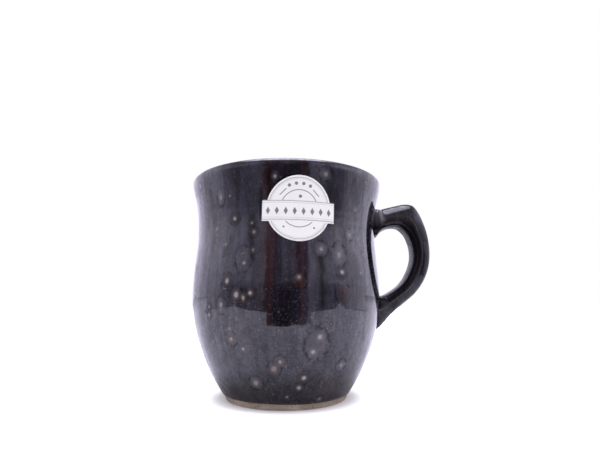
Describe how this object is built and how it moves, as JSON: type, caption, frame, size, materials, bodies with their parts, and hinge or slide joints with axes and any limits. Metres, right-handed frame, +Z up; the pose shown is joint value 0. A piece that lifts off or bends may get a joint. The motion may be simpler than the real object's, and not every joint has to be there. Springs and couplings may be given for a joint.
{
  "type": "ceramic mug",
  "caption": "Wheel-thrown stoneware mug with a rounded belly, a flared lip, an angular pulled handle, a speckled dark gloss glaze and a blank paper label.",
  "frame": {"origin": "where the mug's own axis meets the plane that its foot stands on", "axes": "+Z up along the axis of the mug, +X towards the handle, -Y towards the paper label"},
  "size_m": [0.1111, 0.0878, 0.096],
  "materials": {
    "bare_stoneware": "unglazed fired clay, fine grit",
    "luting_slip": "fired clay slip",
    "dark_gloss_glaze": "gloss, blue-black with pale pinkish spots",
    "liner_glaze": "gloss, blue-black",
    "label_paper": "coated white paper"
  },
  "bodies": {
    "root": {"clay_body": "bare_stoneware", "handle": "bare_stoneware", "upper_slip_joint": "luting_slip", "lower_slip_joint": "luting_slip", "outside_glaze": "dark_gloss_glaze", "inside_glaze": "liner_glaze", "handle_glaze": "dark_gloss_glaze", "paper_label": "label_paper"}
  },
  "joints": []
}
